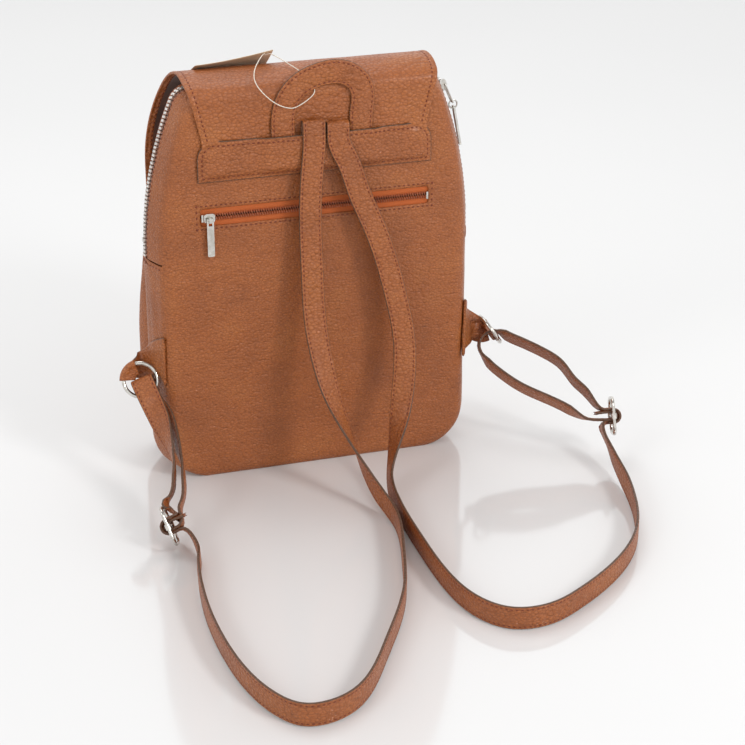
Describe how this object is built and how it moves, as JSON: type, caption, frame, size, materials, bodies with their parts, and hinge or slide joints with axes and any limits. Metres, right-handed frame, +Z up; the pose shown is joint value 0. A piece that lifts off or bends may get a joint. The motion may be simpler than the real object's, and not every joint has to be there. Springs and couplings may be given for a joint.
{
  "type": "backpack",
  "caption": "Small leather backpack with a fold-over flap, zipped main and back pockets, a top handle and two strap loops on metal rings, lying open behind it",
  "frame": {"origin": "middle of the base, on the surface that the bag stands on", "axes": "+Z up, the wearer's back is towards +Y and the flap falls down the front towards -Y, +X to the left in a view of the back"},
  "size_m": [0.4388, 0.4942, 0.3743],
  "materials": {
    "leather": "pebbled cognac leather, satin",
    "zip_tape": "woven polyester tape",
    "teeth": "metal teeth",
    "board": "stiffening board",
    "nickel": "polished nickel plate",
    "coil": "nylon coil",
    "lining": "plain woven lining",
    "strap_leather": "double layer of cognac leather with dark painted edges",
    "card": "coated card",
    "string": "thin white cord"
  },
  "bodies": {
    "bag": {"back_panel": "leather", "front_panel": "leather", "lower_gusset": "leather", "zip_strip_rear": "leather", "zip_strip_front": "leather", "main_zip_tape_rear": "zip_tape", "main_zip_tape_front": "zip_tape", "main_zip_teeth_rear": "teeth", "main_zip_teeth_front": "teeth", "base_board": "board", "zip_end_stops": "nickel", "zip_end_tip": "leather", "back_zip_tape_upper": "zip_tape", "back_zip_tape_lower": "zip_tape", "back_zip_coil_upper": "coil", "back_zip_coil_lower": "coil", "back_zip_stops": "nickel", "back_pocket_pouch": "lining", "flap_back": "leather", "snap_female": "nickel", "snap_washer": "nickel", "front_pocket": "leather", "patch": "leather", "handle": "leather", "ring_left": "nickel", "tab_left": "leather", "ring_right": "nickel", "tab_right": "leather", "buckle_frame_left": "nickel", "buckle_bar_left": "nickel", "buckle_frame_right": "nickel", "buckle_bar_right": "nickel", "shoulder_strap_left": "strap_leather", "shoulder_strap_right": "strap_leather"},
    "main_slider": {"main_zip_slider": "nickel"},
    "main_link": {"main_zip_link": "nickel"},
    "main_pull": {"main_zip_ring": "nickel", "main_zip_pull_bar": "nickel"},
    "back_slider": {"back_zip_slider": "nickel"},
    "back_pull": {"back_zip_pull": "nickel"},
    "flap": {"flap_front": "leather", "snap_male": "nickel", "hang_tag": "card", "tag_string": "string"}
  },
  "joints": [
    {"name": "flap_hinge", "type": "hinge", "parent": "bag", "child": "flap", "pos_m": [0, 0, 0.3628], "axis": [-1, 0, 0], "range_deg": [0, 130], "deforming": ["tag_string"]},
    {"name": "main_zip_slide", "type": "hinge", "parent": "bag", "child": "main_slider", "pos_m": [0.2055, 0, 0.204], "axis": [0, -1, 0], "range_deg": [0, 16]},
    {"name": "main_link_hinge", "type": "hinge", "parent": "main_slider", "child": "main_link", "pos_m": [-0.12388, 0, 0.334], "axis": [0, 1, 0], "range_deg": [0, 120]},
    {"name": "main_pull_hinge", "type": "hinge", "parent": "main_link", "child": "main_pull", "pos_m": [-0.13154, 0, 0.31661], "axis": [0, 1, 0], "range_deg": [0, 40]},
    {"name": "back_zip_slide", "type": "slide", "parent": "bag", "child": "back_slider", "axis": [-1, 0, 0], "range_m": [0, 0.1868]},
    {"name": "back_pull_hinge", "type": "hinge", "parent": "back_slider", "child": "back_pull", "pos_m": [0.0934, 0.034, 0.244], "axis": [1, 0, 0], "range_deg": [0, 110]}
  ]
}
